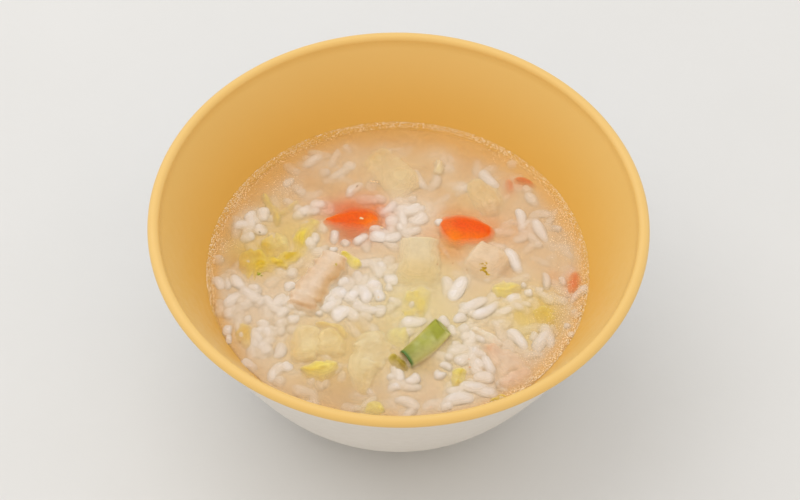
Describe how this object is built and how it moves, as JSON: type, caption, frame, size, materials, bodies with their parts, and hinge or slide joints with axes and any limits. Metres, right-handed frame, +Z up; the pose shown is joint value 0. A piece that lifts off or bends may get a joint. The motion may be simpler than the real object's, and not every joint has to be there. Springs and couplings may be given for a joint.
{
  "type": "congee bowl",
  "caption": "Round yellow-lined bowl of rice congee with carrot, chicken, scallion and napa cabbage floating in a cloudy broth.",
  "frame": {"origin": "centre of the foot ring's underside, on the bowl's axis", "axes": "+Z up along the bowl's axis, +X to the right and +Y away as the food is shown"},
  "size_m": [0.135, 0.135, 0.062],
  "materials": {
    "bowl": "semi-gloss, yellow inside and on the lip, off-white outside",
    "congee": "wet, cloudy broth with rice",
    "carrot": "wet cooked carrot",
    "chicken": "wet cooked chicken, faintly fibrous",
    "scallion": "wet scallion skin",
    "leaf": "wet yellow cabbage leaf",
    "stem": "wet pale cabbage stem",
    "olive": "wet olive leaf scrap"
  },
  "bodies": {
    "root": {"bowl": "bowl", "congee": "congee", "carrot_left": "carrot", "carrot_right": "carrot", "chicken_left": "chicken", "chicken_right": "chicken", "chicken_shred": "chicken", "chicken_low": "chicken", "scallion": "scallion", "napa_curl": "leaf", "napa_leaf": "leaf", "leaf_shred": "leaf", "leaf_tip": "leaf", "leaf_centre": "leaf", "leaf_right": "leaf", "leaf_far_right": "leaf", "leaf_front": "leaf", "stem_low_left": "stem", "stem_low_right": "stem", "stem_centre": "stem", "leaf_pale": "stem", "scallion_leaf": "stem", "leaf_top": "stem", "leaf_top_right": "stem", "flake_top": "stem", "olive_leaf": "olive"}
  },
  "joints": []
}
